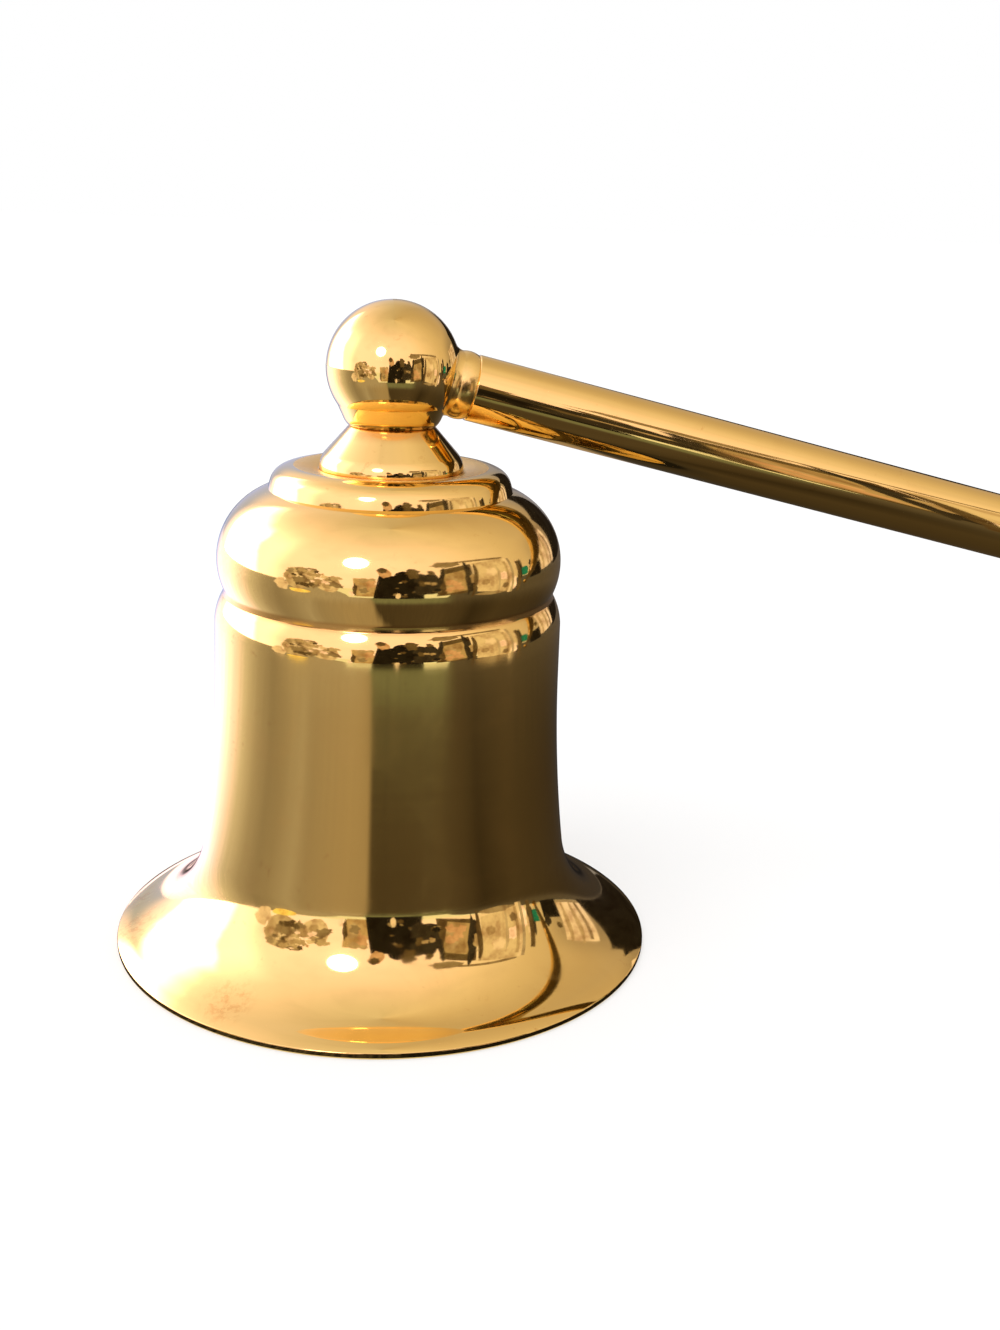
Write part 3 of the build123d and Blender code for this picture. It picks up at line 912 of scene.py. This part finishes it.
floor()
table_card()
sky_card()
lamp_card()
still_life("shelf_card", SHELF_REACH, (
    # left: a sunlit heap and a pale stack
    (-70, 10, 0, 26, CREAM, 0.3),
    (-57, 22, 8, 62, grey(0.72, 0.10), 0.16), (-38, 17, 8, 50, grey(0.92, 0.08), 0.16),
    *heap(12, (-68, -48), (14, 60), (5, 9), (TAN, OLIVE, TAN, grey(0.42, 0.12), CREAM)),
    *heap(12, (-62, -46), (16, 56), (3, 7), (OLIVE, UMBER, TAN, OLIVE)),
    *heap(14, (-48, -28), (12, 50), (4, 7), (PALE, CREAM, TAN, OLIVE, TAN)),
    *heap(9, (-66, -30), (18, 60), (2, 4), (UMBER, CREAM, PALE, CLAY)),
    (-57, 15, 0, 9, STRAW, 0.15), (-23, 4, 4, 16, PALE, 0.4),
    (-15, 13, 4, 50, grey(0.62, 0.2), 0, -0.1),
    *heap(8, (-21, -10), (8, 50), (4, 7), (CLAY, TAN, CLAY, OLIVE)),
    (-21, 3, 8, 36, UMBER, 0.4),
    # middle: dark blocks
    (-2, 13, 0, 60, BLACK, 0, 0.1), (7, 15, 0, 54, BLACK), (14, 11, 0, 62, BLACK, 0, -0.1),
    (8, 12, 72, 36, BLACK, 0.1),
    *heap(9, (-7, 16), (6, 52), (2, 4), (SLATE, UMBER, OLIVE, TAN)),
    (5, 3, 0, 16, CREAM, 0.3), (-4, 9, 80, 54, CLAY, 0.3), (-5, 6, 82, 66, UMBER, 0.3),
    (14, 9, 78, 52, UMBER, 0.35), (22, 17, 8, 64, SOOT, 0.3),
    *heap(8, (15, 30), (14, 66), (3, 6), (UMBER, BLACK, TAN, SOOT)),
    (41, 22, 8, 74, UMBER, 0, 0.1, 6), (41, 15, 14, 60, grey(0.5, 0.2), 0, -0.1, 6),
    *heap(9, (36, 47), (18, 58), (4, 7), (CLAY, TAN, CLAY, UMBER)),
    (31, 4, 22, 70, SOOT, 0.4, 0.2), (50, 6, 6, 78, SOOT, 0.3), (36, 20, 92, 74, OLIVE, 0.35),
    (52, 4, 50, 30, TAN, 0.4),
    # right: a pale panel and its frame
    (68, 27, 6, 72, PANEL, 0, 0, -8), (54, 3, 0, 76, UMBER, 0.3, 0.1),
    (66, 28, 0, 7, grey(0.42, 0.12), 0.2), (59, 42, 78, 83, OLIVE, 0, 0, -18),
    (66, 8, 56, 38, CREAM, 0.3), (75, 8, 26, 42, PALE, 0.3), (61, 6, 22, 34, TAN, 0.4),
    (71, 2, 6, 58, grey(0.66, 0.08), 0.3), (80, 3, 0, 66, grey(1.0, 0.06)),
    (78, 2, 4, 60, TAN), (76, 5, 20, 10, OLIVE, 0.3), (83, 5, 6, 28, PALE, 0.3),
    (82, 2, 0, 64, grey(0.55, 0.05)), (88, 3, 0, 52, UMBER),
))
still_life("side_card", SIDE_REACH, (
    (92, 5, 0, 84, SOOT, 0.2, 0.1), (96, 8, 50, 16, TEAL, 0.2), (90, 3, 30, 90, CREAM, 0.3),
    (108, 13, 0, 40, BLACK), (104, 5, 30, 60, SOOT, 0.3), (125, 20, 8, 96, CREAM),
    (119, 3, 8, 100, TAN, 0.3), (126, 3, 8, 104, TAN, 0.2), (131, 2, 8, 90, OLIVE),
    (112, 4, 66, 50, UMBER, 0.3), (150, 26, -10, 112, BLACK, 0, 0.25), (176, 16, 0, 60, SLATE),
))

# Light: an even white world and one broad, soft sun that leaves no mark in the metal
SUN_STRENGTH, SUN_SPREAD, SUN_TILT, SUN_HEADING = 0.9, 40, 38, -50
world = bpy.data.worlds.new("studio")
bpy.context.scene.world = world
world.use_nodes = True
background = world.node_tree.nodes["Background"].inputs
background["Color"].default_value = (*WHITE, 1)
background["Strength"].default_value = 1.0
sun_data = bpy.data.lights.new("soft_sun", "SUN")
sun_data.energy, sun_data.angle = SUN_STRENGTH, radians(SUN_SPREAD)
sun = bpy.data.objects.new("soft_sun", sun_data)
sun.rotation_euler = (radians(SUN_TILT), 0, radians(SUN_HEADING))
sun.visible_glossy = False
bpy.context.scene.collection.objects.link(sun)

# Camera at the photograph's viewpoint, in millimetres and degrees
CAMERA_PLACE = Vector((-11.15, -108.4, 52.58))
CAMERA_HEADING, CAMERA_DIP, CAMERA_ROLL = 79.98, 12.18, 1.93
CAMERA_LENS, CAMERA_SENSOR, CAMERA_SHIFT, CAMERA_CLIP = 42.03, 36, -0.0865, 5
camera_data = bpy.data.cameras.new("camera")
camera_data.lens = CAMERA_LENS
camera_data.sensor_width = CAMERA_SENSOR
camera_data.shift_y = CAMERA_SHIFT
camera_data.clip_start = CAMERA_CLIP * MM
camera = bpy.data.objects.new("camera", camera_data)
camera.matrix_world = (
    Matrix.Translation(CAMERA_PLACE * MM)
    @ Matrix.Rotation(radians(CAMERA_HEADING - 90), 4, "Z")
    @ Matrix.Rotation(radians(90 - CAMERA_DIP), 4, "X")
    @ Matrix.Rotation(radians(CAMERA_ROLL), 4, "Z")
)
bpy.context.scene.collection.objects.link(camera)
bpy.context.scene.camera = camera
bpy.context.scene.view_settings.view_transform = "Standard"
